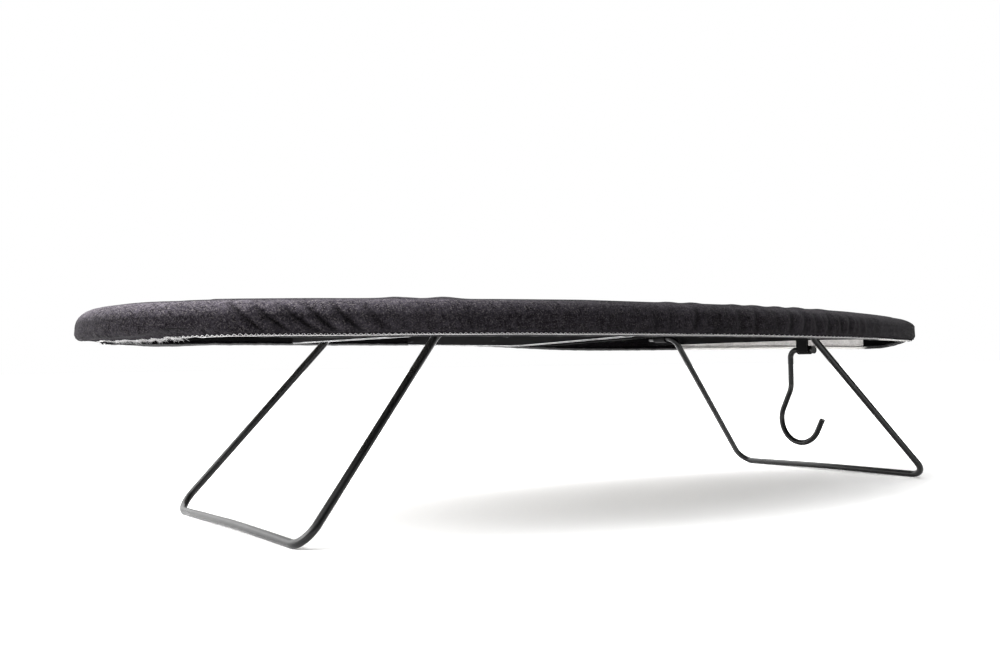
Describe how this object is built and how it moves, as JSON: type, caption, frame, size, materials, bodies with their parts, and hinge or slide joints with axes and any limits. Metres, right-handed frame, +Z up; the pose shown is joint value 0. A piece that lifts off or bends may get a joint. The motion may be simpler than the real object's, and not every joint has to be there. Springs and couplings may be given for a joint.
{
  "type": "tabletop ironing board",
  "caption": "Tabletop ironing board with a padded steel mesh top, a gathered cotton cover, folding bent-wire legs and a hanging wire hook.",
  "frame": {"origin": "middle of the board's length and width, on the surface that the feet stand on", "axes": "+X along the board towards its narrow nose, +Y across the board, +Z up out of the work surface"},
  "size_m": [0.73, 0.32, 0.13],
  "materials": {
    "cover_cotton": "matt charcoal-black cotton weave",
    "hem_thread": "white overlock thread",
    "elastic": "natural knitted elastic",
    "wadding": "needled off-white felt",
    "black_wire": "glossy black powder coat",
    "black_sheet": "satin black powder coat",
    "rivet_steel": "black-coated steel, rubbed at the heads"
  },
  "bodies": {
    "board": {"rim_frame": "black_sheet", "mesh_deck": "black_sheet", "left_leg_rail": "black_sheet", "centre_rail": "black_sheet", "right_leg_rail": "black_sheet", "left_rail_rivets": "rivet_steel", "centre_rail_rivets": "rivet_steel", "right_rail_rivets": "rivet_steel", "left_near_pivot_clip": "black_sheet", "left_far_pivot_clip": "black_sheet", "right_near_pivot_clip": "black_sheet", "right_far_pivot_clip": "black_sheet", "clip_rivets": "rivet_steel", "hook_clip": "black_sheet", "hook_clip_rivets": "rivet_steel", "wadding_pad": "wadding", "cover": "cover_cotton", "hem_elastic": "elastic"},
    "left_leg": {"left_leg": "black_wire"},
    "right_leg": {"right_leg": "black_wire"},
    "hook": {"hanging_hook": "black_wire"}
  },
  "joints": [
    {"name": "left_leg_fold", "type": "hinge", "parent": "board", "child": "left_leg", "pos_m": [-0.18, 0, 0.11665], "axis": [0, -1, 0], "range_deg": [0, 126]},
    {"name": "right_leg_fold", "type": "hinge", "parent": "board", "child": "right_leg", "pos_m": [0.15, 0, 0.11665], "axis": [0, 1, 0], "range_deg": [0, 133]},
    {"name": "hook_swing", "type": "hinge", "parent": "board", "child": "hook", "pos_m": [0.16376, -0.0576, 0.1035], "axis": [0, 1, 0], "range_deg": [-90, 90]}
  ]
}
